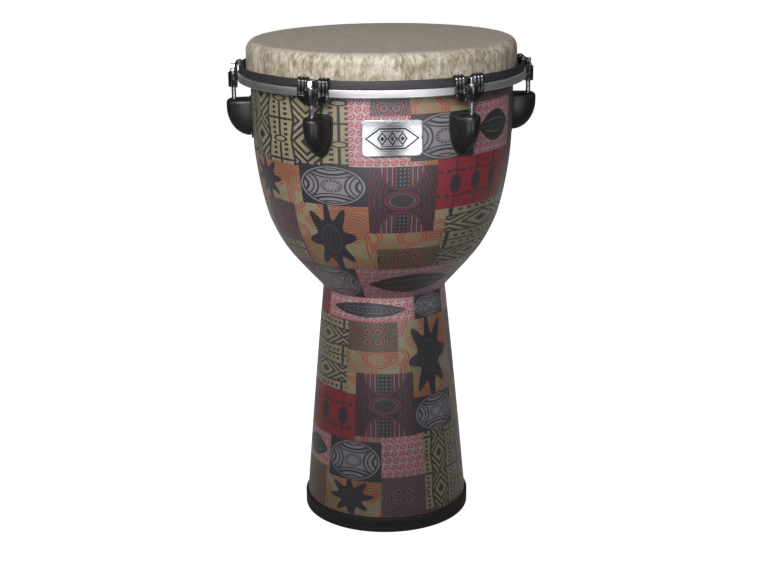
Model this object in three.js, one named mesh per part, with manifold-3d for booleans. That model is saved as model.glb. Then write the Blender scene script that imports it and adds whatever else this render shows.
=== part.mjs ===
// Key-tuned djembe with a 14 inch synthetic head: goblet shell in two glued pieces, rubber foot ring,
// rim (counterhoop over a channel hoop), and six hook claws, tension rods and lugs at 60 degree steps.
// Millimetres, +Z up the drum's axis, origin at the centre of the face it stands on, badge facing -Y.

import * as THREE from "three";
import { mergeVertices } from "three/addons/utils/BufferGeometryUtils.js";
import Module from "manifold-3d";

const wasm = await Module();
wasm.setup();

// ---- Driving dimensions ----

const DRUM_HEIGHT = 660;
const ROUND_SEGMENTS = 48; // facet corners fall every 7.5 degrees, so each lug is centred on one
const SMALL_ROUND_SEGMENTS = 10;
const WALL = 8;
const GAP = 0.3; // between glued, screwed or clamped neighbours
const LUG_COUNT = 6;
const FIRST_LUG_DEG = -30; // measured from the badge, towards +X

// Bowl: outside outline as [radius, height]
const BOWL_OUTLINE = [
  [84.8, 326.2],
  [97, 340],
  [114.7, 360],
  [130.7, 380],
  [142.9, 400],
  [155.8, 430],
  [165.1, 470],
  [170.8, 510],
  [173.4, 555],
  [174, 645],
];
const BOWL_FLOOR_Z = 325.2;
const NECK_BORE_R = 76;
const NECK_TOP_Z = 342;
const BEARING_EDGE_R = 168.2;
const BEARING_EDGE_Z = DRUM_HEIGHT - 1.05;

// Stem
const STEM_TOP_R = 83.5;
const STEM_FOOT_R = 111.6;
const STEM_BELLY = 0.6;
const SPIGOT_WALL = 7.6;
const SPIGOT_TOP_Z = NECK_TOP_Z - 0.5;

// Foot ring
const FOOT_R = 114.8;
const FOOT_HEIGHT = 21;
const FOOT_SOLE = 6; // rubber under the stem's end
const FOOT_WALL = 4.9;
const FOOT_LIP_HEIGHT = 14;
const FOOT_ROUNDING = 2.6;

// Head film and its crown
const FILM_R = 178.5;
const FILM_THICKNESS = 0.6;
const FILM_BOTTOM_Z = 613.5;
const CROWN_WIDTH = 11.6;
const CROWN_DROP = 14;

// Channel hoop that grips the film's collar
const HOOP_R = 190.7;
const HOOP_BOTTOM_Z = 607.6;
const HOOP_TOP_Z = 618;
const HOOP_INNER_R = 176.2;
const SLOT_CLEARANCE = 0.4;
const SLOT_FLOOR_Z = 609.2;

// Counterhoop
const RIM_R = 188.4;
const RIM_TOP_Z = 628.8;
const RIM_THICKNESS = 2.2;
const RIM_FLANGE_R = 181;
const RIM_FLANGE_HEIGHT = 2.3;
const RIM_CHAMFER = 0.7;

// Tension rod, washer and nut
const ROD_AXIS_R = 196.2;
const ROD_R = 3;
const ROD_LENGTH = 63.5;
const COLLAR_R = 4.6;
const COLLAR_HEIGHT = 1.7;
const KEY_SQUARE = 6.35;
const KEY_HEIGHT = 8.3;
const KEY_CHAMFER = 0.7;
const WASHER_R = 5;
const WASHER_THICKNESS = 1;
const RUNNING_GAP = 0.1;
const NUT_R = 5.6;
const NUT_BOTTOM_Z = 568;
const NUT_HEIGHT = 12;
const NUT_BORE_R = ROD_R + 0.2;

// Hook claw
const CLAW_BOTTOM_Z = 598.3;
const CLAW_HALF_WIDTH = 21.8;
const CLAW_BACK_X = HOOP_R + GAP;
const CLAW_PLATE_X = CLAW_BACK_X + 2.4;
const CLAW_SHOULDER_Z = 611;
const CLAW_FOOT_HALF_WIDTH = 9.4;
const PRONG_INNER_Y = 6.4;
const PRONG_FRONT_X = CLAW_BACK_X + 3.2;
const PRONG_LIP_X = 182.6;
const PRONG_LIP_THICKNESS = 2;
const PRONG_LIP_Z = 622.5;
const PRONG_SPRING_Z = 625.5; // where the loop's arch begins
const PRONG_TOP_Z = 631.4;
const BOSS_HALF_WIDTH = 4.4;
const BOSS_FRONT_X = 203;
const BOSS_TOP_Z = 617.8;
const BOSS_BORE_R = ROD_R + 0.3;

// Lug casing, gasket and screws; the casing's outline is half an ellipse below LUG_WIDE_Z
const LUG_BASE_X = 175;
const LUG_DEPTH = 31.4;
const LUG_HALF_WIDTH = 15.9;
const LUG_BOTTOM_Z = 533.2;
const LUG_WIDE_Z = 572;
const LUG_TOP_Z = 583.4;
const LUG_ROUNDING = 6.2;
const LUG_SQUARENESS = 2.3;
const LUG_BACK_EXTENSION = 14;
const GASKET_THICKNESS = 2;
const GASKET_MARGIN = 1.4;
const GASKET_BOTTOM_Z = 529.6;
const GASKET_CORNER_R = 6;
const CASING_ROD_BORE_R = ROD_R + 0.6;
const CASING_BORE_BOTTOM_Z = 550;
const NUT_POCKET_GAP = 0.3;
const SCREW_HEIGHTS = [546, 560.5];
const SCREW_R = 2;
const SCREW_TIP_X = 187;
const SCREW_HOLE_R = SCREW_R + 0.3;
const SCREW_HEAD_R = 4.5;
const SCREW_HEAD_HEIGHT = 3;

// Badge
const BADGE_WIDTH = 76.4;
const BADGE_HEIGHT = 46.6;
const BADGE_CORNER_R = 6;
const BADGE_THICKNESS = 1.2;
const BADGE_CENTRE_Z = 555.8;

// ---- Materials ----

function material(color, roughness, metalness) {
  return new THREE.MeshStandardMaterial({ color, roughness, metalness });
}

const bowlPrint = material(0x7d6f5c, 0.45, 0);
const stemPrint = material(0x6b5a50, 0.45, 0);
const rubber = material(0x2a2829, 0.75, 0);
const film = material(0xb9ad9c, 0.6, 0);
const brushedAluminium = material(0xd0d0d4, 0.3, 1);
const blackSteel = material(0x343234, 0.45, 0.3);
const glossBlack = material(0x131314, 0.15, 0.4);
const satinBlack = material(0x222121, 0.4, 0);
const gasketBlack = material(0x161616, 0.6, 0);
const chrome = material(0xdadade, 0.12, 1);
const zincSteel = material(0x9a9a9c, 0.35, 1);
const brassNut = material(0xb08d4a, 0.35, 1);

// ---- Shape helpers ----

// A closed outline of [radius, height] points, counter-clockwise, turned about +Z.
function turned(outline, segments = ROUND_SEGMENTS) {
  const points = outline.map(([radius, height]) => new THREE.Vector2(radius, height));
  const onAxis = outline[0][0] === 0 && outline.at(-1)[0] === 0;
  if (!onAxis) points.push(points[0].clone());
  const geometry = new THREE.LatheGeometry(points, segments);
  return geometry.rotateX(Math.PI / 2);
}

function cylinder(radius, bottomZ, topZ) {
  return turned([[0, bottomZ], [radius, bottomZ], [radius, topZ], [0, topZ]], SMALL_ROUND_SEGMENTS);
}

// A shape drawn in the y-z plane, pushed out along +X from backX to frontX.
function pushedOutwards(shape, backX, frontX, curveSegments = 8) {
  const geometry = new THREE.ExtrudeGeometry(shape, {
    depth: frontX - backX,
    bevelEnabled: false,
    curveSegments,
  });
  const basis = new THREE.Matrix4().makeBasis(
    new THREE.Vector3(0, 1, 0),
    new THREE.Vector3(0, 0, 1),
    new THREE.Vector3(1, 0, 0),
  );
  return geometry.applyMatrix4(basis).translate(backX, 0, 0);
}

// A shape drawn in the x-z plane, pushed along Y from y = lowY to y = highY.
function pushedSideways(shape, lowY, highY, curveSegments = 8) {
  const geometry = new THREE.ExtrudeGeometry(shape, {
    depth: highY - lowY,
    bevelEnabled: false,
    curveSegments,
  });
  return geometry.rotateX(Math.PI / 2).translate(0, highY, 0);
}

// A shape drawn in the x-y plane, pushed up from bottomZ to topZ.
function pushedUp(shape, bottomZ, topZ, curveSegments = 8) {
  const geometry = new THREE.ExtrudeGeometry(shape, {
    depth: topZ - bottomZ,
    bevelEnabled: false,
    curveSegments,
  });
  return geometry.translate(0, 0, bottomZ);
}

// A closed solid through rings of equal length, from the lowest ring to the highest.
function lofted(rings) {
  const count = rings[0].length;
  const positions = rings.flat(2);
  const indices = [];
  for (let ring = 0; ring + 1 < rings.length; ring++) {
    for (let i = 0; i < count; i++) {
      const a = ring * count + i;
      const b = ring * count + ((i + 1) % count);
      indices.push(a, b, b + count, a, b + count, a + count);
    }
  }
  const top = (rings.length - 1) * count;
  for (let i = 1; i + 1 < count; i++) {
    indices.push(0, i + 1, i);
    indices.push(top, top + i, top + i + 1);
  }
  const geometry = new THREE.BufferGeometry();
  geometry.setAttribute("position", new THREE.Float32BufferAttribute(positions, 3));
  return geometry.setIndex(indices);
}

function solid(geometry) {
  const bare = geometry.clone();
  bare.deleteAttribute("normal");
  bare.deleteAttribute("uv");
  const merged = mergeVertices(bare, 1e-4);
  return new wasm.Manifold(
    new wasm.Mesh({
      numProp: 3,
      vertProperties: new Float32Array(merged.attributes.position.array),
      triVerts: new Uint32Array(merged.index.array),
    }),
  );
}

function geometryOf(body) {
  const mesh = body.getMesh();
  const geometry = new THREE.BufferGeometry();
  geometry.setAttribute("position", new THREE.BufferAttribute(mesh.vertProperties, 3));
  geometry.setIndex(new THREE.BufferAttribute(mesh.triVerts, 1));
  geometry.computeVertexNormals();
  return geometry;
}

function piece(name, geometry, look) {
  const mesh = new THREE.Mesh(geometry, look);
  mesh.name = name;
  return mesh;
}

// The outline moved inwards (positive distance) along its own normals.
function movedInwards(outline, distance) {
  return outline.map(([radius, height], i) => {
    const before = outline[Math.max(i - 1, 0)];
    const after = outline[Math.min(i + 1, outline.length - 1)];
    const along = new THREE.Vector2(after[0] - before[0], after[1] - before[1]).normalize();
    return [radius - along.y * distance, height + along.x * distance];
  });
}

// ---- Shell ----

const bowlCurve = new THREE.SplineCurve(BOWL_OUTLINE.map(([r, z]) => new THREE.Vector2(r, z)));
const bowlOutside = bowlCurve.getPoints(11).map((point) => [point.x, point.y]);

function shellScrewHoles() {
  const holes = [];
  for (let lug = 0; lug < LUG_COUNT; lug++) {
    for (const z of SCREW_HEIGHTS) {
      const hole = cylinder(SCREW_HOLE_R, 150, 190).rotateY(Math.PI / 2);
      holes.push(hole.translate(0, 0, z).rotateZ(lugAngle(lug)));
    }
  }
  return holes;
}

function bowlShell() {
  const inside = movedInwards(bowlOutside, WALL).filter(([, z]) => z > NECK_TOP_Z + 1);
  const outline = [
    [NECK_BORE_R, BOWL_FLOOR_Z],
    [BOWL_OUTLINE[0][0] - 1, BOWL_FLOOR_Z],
    ...bowlOutside,
    [BEARING_EDGE_R + 3.2, DRUM_HEIGHT - 5],
    [BEARING_EDGE_R, BEARING_EDGE_Z],
    [BOWL_OUTLINE.at(-1)[0] - WALL, DRUM_HEIGHT - 6],
    ...inside.reverse(),
    [inside.at(-1)[0] - 3, NECK_TOP_Z],
    [NECK_BORE_R, NECK_TOP_Z],
  ];
  let body = solid(turned(outline));
  for (const hole of shellScrewHoles()) body = body.subtract(solid(hole));
  return piece("shell_bowl", geometryOf(body), bowlPrint);
}

function stemRadius(z) {
  const low = FOOT_HEIGHT + GAP;
  const t = (z - low) / (BOWL_FLOOR_Z - GAP - low);
  return THREE.MathUtils.lerp(STEM_FOOT_R, STEM_TOP_R, t) + 4 * STEM_BELLY * t * (1 - t);
}

function stemShell() {
  const top = BOWL_FLOOR_Z - GAP;
  const spigotR = NECK_BORE_R - GAP;
  const spigotBore = spigotR - SPIGOT_WALL;
  const seatR = FOOT_R - FOOT_WALL - GAP;
  const outside = [];
  for (let i = 0; i <= 3; i++) {
    const z = THREE.MathUtils.lerp(FOOT_HEIGHT + GAP, top, i / 3);
    outside.push([stemRadius(z), z]);
  }
  const outline = [
    [seatR - WALL, FOOT_SOLE + GAP],
    [seatR, FOOT_SOLE + GAP],
    [seatR, FOOT_HEIGHT + GAP],
    ...outside,
    [spigotR, top],
    [spigotR, SPIGOT_TOP_Z],
    [spigotBore, SPIGOT_TOP_Z],
    [spigotBore, top - 26],
    [stemRadius(top - 40) - WALL, top - 40],
    [seatR - WALL, FOOT_LIP_HEIGHT + 1],
  ];
  return piece("shell_stem", turned(outline), stemPrint);
}

function footRing() {
  const seatR = FOOT_R - FOOT_WALL;
  const lipR = seatR - GAP - WALL - GAP;
  const rounding = [];
  for (let i = 0; i <= 2; i++) {
    const angle = (-Math.PI / 2) * (1 - i / 2);
    rounding.push([
      FOOT_R - FOOT_ROUNDING + FOOT_ROUNDING * Math.cos(angle),
      FOOT_ROUNDING + FOOT_ROUNDING * Math.sin(angle),
    ]);
  }
  const outline = [
    [lipR - 2.6, 0],
    ...rounding,
    [FOOT_R, FOOT_HEIGHT - 1.2],
    [FOOT_R - 1.2, FOOT_HEIGHT],
    [seatR, FOOT_HEIGHT],
    [seatR, FOOT_SOLE],
    [lipR, FOOT_SOLE],
    [lipR, FOOT_LIP_HEIGHT],
    [lipR - 2.6, FOOT_LIP_HEIGHT],
  ];
  return piece("foot_ring", turned(outline), rubber);
}

// ---- Head and rim ----

function crownArc(inset) {
  const points = [];
  for (let i = 0; i <= 4; i++) {
    const angle = (Math.PI / 2) * (i / 4);
    points.push([
      FILM_R - CROWN_WIDTH + (CROWN_WIDTH - inset) * Math.cos(angle),
      DRUM_HEIGHT - CROWN_DROP + (CROWN_DROP - inset) * Math.sin(angle),
    ]);
  }
  return points;
}

function drumheadFilm() {
  const outline = [
    [0, DRUM_HEIGHT - FILM_THICKNESS],
    ...crownArc(FILM_THICKNESS).reverse(),
    [FILM_R - FILM_THICKNESS, FILM_BOTTOM_Z],
    [FILM_R, FILM_BOTTOM_Z],
    ...crownArc(0),
    [0, DRUM_HEIGHT],
  ];
  return piece("drumhead_film", turned(outline), film);
}

function drumheadHoop() {
  const slotInner = FILM_R - FILM_THICKNESS - SLOT_CLEARANCE;
  const slotOuter = FILM_R + SLOT_CLEARANCE;
  const outline = [
    [HOOP_INNER_R, HOOP_BOTTOM_Z],
    [HOOP_R - 1, HOOP_BOTTOM_Z],
    [HOOP_R, HOOP_BOTTOM_Z + 1],
    [HOOP_R, HOOP_TOP_Z - 1],
    [HOOP_R - 1, HOOP_TOP_Z],
    [slotOuter, HOOP_TOP_Z],
    [slotOuter, SLOT_FLOOR_Z],
    [slotInner, SLOT_FLOOR_Z],
    [slotInner, HOOP_TOP_Z],
    [HOOP_INNER_R, HOOP_TOP_Z],
  ];
  return piece("drumhead_hoop", turned(outline), brushedAluminium);
}

function counterhoop() {
  const bottom = HOOP_TOP_Z + GAP;
  const inner = RIM_R - RIM_THICKNESS;
  const outline = [
    [RIM_FLANGE_R, bottom],
    [RIM_R, bottom],
    [RIM_R, RIM_TOP_Z - RIM_CHAMFER],
    [RIM_R - RIM_CHAMFER, RIM_TOP_Z],
    [inner + RIM_CHAMFER, RIM_TOP_Z],
    [inner, RIM_TOP_Z - RIM_CHAMFER],
    [inner, bottom + RIM_FLANGE_HEIGHT],
    [RIM_FLANGE_R, bottom + RIM_FLANGE_HEIGHT],
  ];
  return piece("counterhoop", turned(outline), blackSteel);
}

// ---- Lug station, built with +X pointing outwards from the drum's axis ----

// One prong: it rises outside the rim, arches over it and ends in a lip behind it.
function prongProfile() {
  const lipFront = PRONG_LIP_X + PRONG_LIP_THICKNESS;
  const archX = (PRONG_FRONT_X + PRONG_LIP_X) / 2;
  const archWidth = PRONG_FRONT_X - archX;
  const shape = new THREE.Shape();
  shape.moveTo(CLAW_BACK_X, CLAW_SHOULDER_Z);
  shape.lineTo(PRONG_FRONT_X, CLAW_SHOULDER_Z);
  shape.lineTo(PRONG_FRONT_X, PRONG_SPRING_Z);
  shape.absellipse(archX, PRONG_SPRING_Z, archWidth, PRONG_TOP_Z - PRONG_SPRING_Z, 0, Math.PI);
  shape.lineTo(PRONG_LIP_X, PRONG_LIP_Z);
  shape.lineTo(lipFront, PRONG_LIP_Z);
  shape.lineTo(lipFront, RIM_TOP_Z + GAP);
  shape.lineTo(RIM_R + GAP, RIM_TOP_Z + GAP);
  shape.lineTo(CLAW_BACK_X, PRONG_SPRING_Z + 1);
  shape.closePath();
  return shape;
}

// The shield-shaped plate that ties the two prongs and the boss together.
function clawPlate() {
  const shape = new THREE.Shape();
  shape.moveTo(-CLAW_FOOT_HALF_WIDTH, CLAW_BOTTOM_Z);
  shape.lineTo(CLAW_FOOT_HALF_WIDTH, CLAW_BOTTOM_Z);
  shape.quadraticCurveTo(CLAW_HALF_WIDTH, CLAW_BOTTOM_Z + 4, CLAW_HALF_WIDTH, CLAW_SHOULDER_Z + 1);
  shape.lineTo(CLAW_HALF_WIDTH, PRONG_SPRING_Z);
  shape.lineTo(PRONG_INNER_Y, PRONG_SPRING_Z);
  shape.lineTo(PRONG_INNER_Y, BOSS_TOP_Z);
  shape.lineTo(-PRONG_INNER_Y, BOSS_TOP_Z);
  shape.lineTo(-PRONG_INNER_Y, PRONG_SPRING_Z);
  shape.lineTo(-CLAW_HALF_WIDTH, PRONG_SPRING_Z);
  shape.lineTo(-CLAW_HALF_WIDTH, CLAW_SHOULDER_Z + 1);
  shape.quadraticCurveTo(-CLAW_HALF_WIDTH, CLAW_BOTTOM_Z + 4, -CLAW_FOOT_HALF_WIDTH, CLAW_BOTTOM_Z);
  return pushedOutwards(shape, CLAW_BACK_X, CLAW_PLATE_X, 5);
}

function clawBoss() {
  const shape = new THREE.Shape();
  const frontCentre = BOSS_FRONT_X - BOSS_HALF_WIDTH;
  shape.moveTo(CLAW_BACK_X, -BOSS_HALF_WIDTH);
  shape.lineTo(frontCentre, -BOSS_HALF_WIDTH);
  shape.absarc(frontCentre, 0, BOSS_HALF_WIDTH, -Math.PI / 2, Math.PI / 2, false);
  shape.lineTo(CLAW_BACK_X, BOSS_HALF_WIDTH);
  shape.closePath();
  return pushedUp(shape, CLAW_BOTTOM_Z, BOSS_TOP_Z, 5);
}

function hookClaw(name) {
  let body = solid(clawPlate()).add(solid(clawBoss()));
  for (const side of [-1, 1]) {
    const ends = [side * PRONG_INNER_Y, side * CLAW_HALF_WIDTH];
    const prong = pushedSideways(prongProfile(), Math.min(...ends), Math.max(...ends), 5);
    body = body.add(solid(prong));
  }
  const bore = cylinder(BOSS_BORE_R, CLAW_BOTTOM_Z - 1, BOSS_TOP_Z + 1);
  body = body.subtract(solid(bore.translate(ROD_AXIS_R, 0, 0)));
  return piece(name, geometryOf(body), glossBlack);
}

const washerBottomZ = BOSS_TOP_Z + RUNNING_GAP;
const collarBottomZ = washerBottomZ + WASHER_THICKNESS + RUNNING_GAP;
const keyBottomZ = collarBottomZ + COLLAR_HEIGHT;

function ring(innerR, outerR, bottomZ, topZ) {
  return turned(
    [[innerR, bottomZ], [outerR, bottomZ], [outerR, topZ], [innerR, topZ]],
    SMALL_ROUND_SEGMENTS,
  );
}

function rodWasher(name) {
  const geometry = ring(NUT_BORE_R, WASHER_R, washerBottomZ, washerBottomZ + WASHER_THICKNESS);
  const washer = piece(name, geometry, chrome);
  washer.position.x = ROD_AXIS_R;
  return washer;
}

function tensionRod(name) {
  const half = KEY_SQUARE / 2;
  const tip = collarBottomZ - ROD_LENGTH;
  const shaft = turned(
    [
      [0, tip],
      [ROD_R - 1, tip],
      [ROD_R, tip + 1],
      [ROD_R, collarBottomZ],
      [COLLAR_R, collarBottomZ],
      [COLLAR_R, keyBottomZ],
      [0, keyBottomZ],
    ],
    SMALL_ROUND_SEGMENTS,
  );
  const square = (inset, z) => {
    const corner = half - inset;
    return [[-corner, -corner, z], [corner, -corner, z], [corner, corner, z], [-corner, corner, z]];
  };
  const top = keyBottomZ + KEY_HEIGHT;
  const key = lofted([
    square(0, keyBottomZ - 0.5),
    square(0, top - KEY_CHAMFER),
    square(KEY_CHAMFER, top),
  ]);
  const rod = piece(name, geometryOf(solid(shaft).add(solid(key))), chrome);
  rod.position.x = ROD_AXIS_R;
  return rod;
}

function lugNut(name) {
  const nut = piece(name, ring(NUT_BORE_R, NUT_R, NUT_BOTTOM_Z, NUT_BOTTOM_Z + NUT_HEIGHT), brassNut);
  nut.position.x = ROD_AXIS_R;
  return nut;
}

// Everything nearer the axis than the shell's outside plus a clearance, over the lug's height.
function insideShell(clearance) {
  const wall = movedInwards(bowlOutside, -clearance).filter(([, z]) => z > 480);
  return solid(turned([[0, wall[0][1]], ...wall, [0, wall.at(-1)[1]]]));
}

// The D-shaped section of the casing at one height.
function casingRing(scale, inset, z) {
  const depth = LUG_DEPTH * scale - inset;
  const halfWidth = LUG_HALF_WIDTH * scale - inset;
  const points = [[LUG_BASE_X - LUG_BACK_EXTENSION, -halfWidth, z]];
  const steps = 10;
  for (let i = 0; i <= steps; i++) {
    const angle = Math.PI * (i / steps - 0.5);
    const outwards = Math.abs(Math.cos(angle)) ** (2 / LUG_SQUARENESS);
    const sideways = Math.sign(angle) * Math.abs(Math.sin(angle)) ** (2 / LUG_SQUARENESS);
    points.push([LUG_BASE_X + depth * outwards, halfWidth * sideways, z]);
  }
  points.push([LUG_BASE_X - LUG_BACK_EXTENSION, halfWidth, z]);
  return points;
}

function casingBlank() {
  const rings = [];
  const lowSteps = 5;
  for (let i = 0; i <= lowSteps; i++) {
    const angle = (Math.PI / 2) * (0.1 + 0.9 * (i / lowSteps));
    const z = LUG_WIDE_Z - (LUG_WIDE_Z - LUG_BOTTOM_Z) * Math.cos(angle);
    rings.push(casingRing(Math.sin(angle), 0, z));
  }
  for (let i = 0; i <= 2; i++) {
    const angle = (Math.PI / 2) * (i / 2);
    const inset = LUG_ROUNDING * (1 - Math.cos(angle));
    rings.push(casingRing(1, inset, LUG_TOP_Z - LUG_ROUNDING * (1 - Math.sin(angle))));
  }
  return solid(lofted(rings));
}

function nutPocket() {
  const radius = NUT_R + NUT_POCKET_GAP;
  const shape = new THREE.Shape();
  shape.moveTo(LUG_BASE_X - LUG_BACK_EXTENSION, -radius);
  shape.lineTo(ROD_AXIS_R, -radius);
  shape.absarc(ROD_AXIS_R, 0, radius, -Math.PI / 2, Math.PI / 2, false);
  shape.lineTo(LUG_BASE_X - LUG_BACK_EXTENSION, radius);
  shape.closePath();
  const bottom = NUT_BOTTOM_Z - NUT_POCKET_GAP;
  return solid(pushedUp(shape, bottom, NUT_BOTTOM_Z + NUT_HEIGHT + NUT_POCKET_GAP, 4));
}

function screwHole(radius, z) {
  const depth = SCREW_TIP_X + 1 - 150;
  return solid(cylinder(radius, 0, depth).rotateY(Math.PI / 2).translate(150, 0, z));
}

function lugCasing(name) {
  const rodBore = cylinder(CASING_ROD_BORE_R, CASING_BORE_BOTTOM_Z, LUG_TOP_Z + 1);
  let body = casingBlank()
    .subtract(insideShell(2 * GAP + GASKET_THICKNESS))
    .subtract(solid(rodBore.translate(ROD_AXIS_R, 0, 0)))
    .subtract(nutPocket());
  for (const z of SCREW_HEIGHTS) body = body.subtract(screwHole(SCREW_R + 0.15, z));
  return piece(name, geometryOf(body), satinBlack);
}

function gasketOutline() {
  const halfWidth = LUG_HALF_WIDTH + GASKET_MARGIN;
  const top = LUG_TOP_Z + GASKET_MARGIN;
  const corner = GASKET_CORNER_R;
  const drop = LUG_WIDE_Z - GASKET_BOTTOM_Z;
  const shape = new THREE.Shape();
  shape.absellipse(0, LUG_WIDE_Z, halfWidth, drop, Math.PI, 2 * Math.PI, false);
  shape.lineTo(halfWidth, top - corner);
  shape.absarc(halfWidth - corner, top - corner, corner, 0, Math.PI / 2, false);
  shape.lineTo(corner - halfWidth, top);
  shape.absarc(corner - halfWidth, top - corner, corner, Math.PI / 2, Math.PI, false);
  shape.closePath();
  return shape;
}

function lugGasket(name) {
  let body = solid(pushedOutwards(gasketOutline(), 160, 190, 6))
    .intersect(insideShell(GAP + GASKET_THICKNESS))
    .subtract(insideShell(GAP));
  for (const z of SCREW_HEIGHTS) body = body.subtract(screwHole(SCREW_HOLE_R, z));
  return piece(name, geometryOf(body), gasketBlack);
}

function shellRadiusAt(z) {
  const above = bowlOutside.findIndex(([, height]) => height >= z);
  const [lowR, lowZ] = bowlOutside[above - 1];
  const [highR, highZ] = bowlOutside[above];
  return THREE.MathUtils.mapLinear(z, lowZ, highZ, lowR, highR);
}

function lugScrew(name, z) {
  const seat = shellRadiusAt(z) - WALL - 2 * GAP;
  const length = SCREW_TIP_X - seat;
  const geometry = turned(
    [
      [0, -SCREW_HEAD_HEIGHT],
      [SCREW_HEAD_R - 1.2, -SCREW_HEAD_HEIGHT],
      [SCREW_HEAD_R, 0],
      [SCREW_R, 0],
      [SCREW_R, length],
      [0, length],
    ],
    SMALL_ROUND_SEGMENTS,
  );
  const screw = piece(name, geometry, zincSteel);
  screw.rotation.y = Math.PI / 2;
  screw.position.set(seat, 0, z);
  return screw;
}

// ---- Badge ----

function badgePlate() {
  const halfWidth = BADGE_WIDTH / 2;
  const halfHeight = BADGE_HEIGHT / 2;
  const r = BADGE_CORNER_R;
  const shape = new THREE.Shape();
  shape.moveTo(-halfWidth + r, BADGE_CENTRE_Z - halfHeight);
  shape.lineTo(halfWidth - r, BADGE_CENTRE_Z - halfHeight);
  shape.absarc(halfWidth - r, BADGE_CENTRE_Z - halfHeight + r, r, -Math.PI / 2, 0, false);
  shape.lineTo(halfWidth, BADGE_CENTRE_Z + halfHeight - r);
  shape.absarc(halfWidth - r, BADGE_CENTRE_Z + halfHeight - r, r, 0, Math.PI / 2, false);
  shape.lineTo(-halfWidth + r, BADGE_CENTRE_Z + halfHeight);
  shape.absarc(-halfWidth + r, BADGE_CENTRE_Z + halfHeight - r, r, Math.PI / 2, Math.PI, false);
  shape.lineTo(-halfWidth, BADGE_CENTRE_Z - halfHeight + r);
  shape.absarc(-halfWidth + r, BADGE_CENTRE_Z - halfHeight + r, r, Math.PI, 1.5 * Math.PI, false);
  const body = solid(pushedOutwards(shape, 150, 190, 4))
    .intersect(insideShell(GAP + BADGE_THICKNESS))
    .subtract(insideShell(GAP));
  const badge = piece("badge_plate", geometryOf(body), brushedAluminium);
  badge.rotation.z = -Math.PI / 2;
  return badge;
}

// ---- Assembly ----

// The direction of +X for a lug station: the badge faces -Y.
function lugAngle(lug) {
  const azimuth = FIRST_LUG_DEG + (360 / LUG_COUNT) * lug;
  return THREE.MathUtils.degToRad(azimuth - 90);
}

function lugStation(lug) {
  const number = lug + 1;
  const station = new THREE.Group();
  station.rotation.z = lugAngle(lug);
  station.add(hookClaw(`hook_claw_${number}`));
  station.add(rodWasher(`rod_washer_${number}`));
  station.add(tensionRod(`tension_rod_${number}`));
  station.add(lugNut(`lug_nut_${number}`));
  station.add(lugCasing(`lug_casing_${number}`));
  station.add(lugGasket(`lug_gasket_${number}`));
  station.add(lugScrew(`lug_screw_lower_${number}`, SCREW_HEIGHTS[0]));
  station.add(lugScrew(`lug_screw_upper_${number}`, SCREW_HEIGHTS[1]));
  return station;
}

const djembe = new THREE.Group();
djembe.add(footRing(), stemShell(), bowlShell(), badgePlate());
djembe.add(drumheadFilm(), drumheadHoop(), counterhoop());
for (let lug = 0; lug < LUG_COUNT; lug++) djembe.add(lugStation(lug));

export default djembe;
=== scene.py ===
"""Looks of a key-tuned djembe: printed shell, mottled drumhead, two hoops, six claws, rods and lugs.

Lengths in this file are millimetres until a mesh is made; the studio's are metres. Azimuths are degrees
from the badge, on the side facing -Y, towards +X. A lug station has its own frame: X away from the
drum's axis, Z up.
"""

import math
from functools import partialmethod, reduce

import bmesh
import bpy
import numpy as np
from mathutils import Matrix, Vector


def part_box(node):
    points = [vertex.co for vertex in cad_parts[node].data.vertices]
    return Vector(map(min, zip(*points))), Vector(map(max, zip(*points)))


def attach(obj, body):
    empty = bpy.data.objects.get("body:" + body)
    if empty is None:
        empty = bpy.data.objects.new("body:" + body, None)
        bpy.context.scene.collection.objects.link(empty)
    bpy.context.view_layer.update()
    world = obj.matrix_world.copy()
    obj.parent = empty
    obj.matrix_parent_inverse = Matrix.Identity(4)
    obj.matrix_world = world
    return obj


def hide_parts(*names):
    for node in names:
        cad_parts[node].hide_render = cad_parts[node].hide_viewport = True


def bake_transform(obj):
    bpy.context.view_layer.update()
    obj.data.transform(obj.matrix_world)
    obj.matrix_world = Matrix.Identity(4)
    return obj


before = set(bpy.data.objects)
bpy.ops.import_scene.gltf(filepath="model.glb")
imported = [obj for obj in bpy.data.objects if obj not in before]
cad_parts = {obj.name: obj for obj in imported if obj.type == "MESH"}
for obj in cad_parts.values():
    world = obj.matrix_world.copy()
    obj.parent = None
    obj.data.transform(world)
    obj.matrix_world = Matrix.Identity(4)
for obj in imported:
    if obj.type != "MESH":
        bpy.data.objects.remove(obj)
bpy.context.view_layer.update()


# ---- Sizes read from the frame ----


def points_mm(mesh):
    points = np.zeros(len(mesh.vertices) * 3)
    mesh.vertices.foreach_get("co", points)
    return points.reshape(-1, 3) * 1000


def box_mm(node):
    low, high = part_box(node)
    return np.array(low) * 1000, np.array(high) * 1000


def station_angle(number):
    """The direction of a lug station, counter-clockwise from +X."""
    low, high = box_mm(f"tension_rod_{number}")
    centre = (low + high) / 2
    return math.atan2(centre[1], centre[0])


def turned_by(points, angle):
    """Points turned about the drum's axis."""
    cosine, sine = math.cos(angle), math.sin(angle)
    matrix = np.array([[cosine, -sine, 0], [sine, cosine, 0], [0, 0, 1]])
    return np.asarray(points, float) @ matrix.T


def station_box(node):
    """A lug station node's box in the station's own frame."""
    points = turned_by(points_mm(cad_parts[node].data), -station_angle(int(node[-1])))
    return points.min(0), points.max(0)


def azimuth_of(x, y):
    return math.degrees(math.atan2(x, -y))


def facing(polygon):
    """A face's azimuth, its distance from the axis and how far it looks away from the axis, up to 1."""
    centre, normal = polygon.center, polygon.normal
    radius = math.hypot(centre.x, centre.y)
    outward = (centre.x * normal.x + centre.y * normal.y) / radius
    return azimuth_of(centre.x, centre.y), radius, outward


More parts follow.
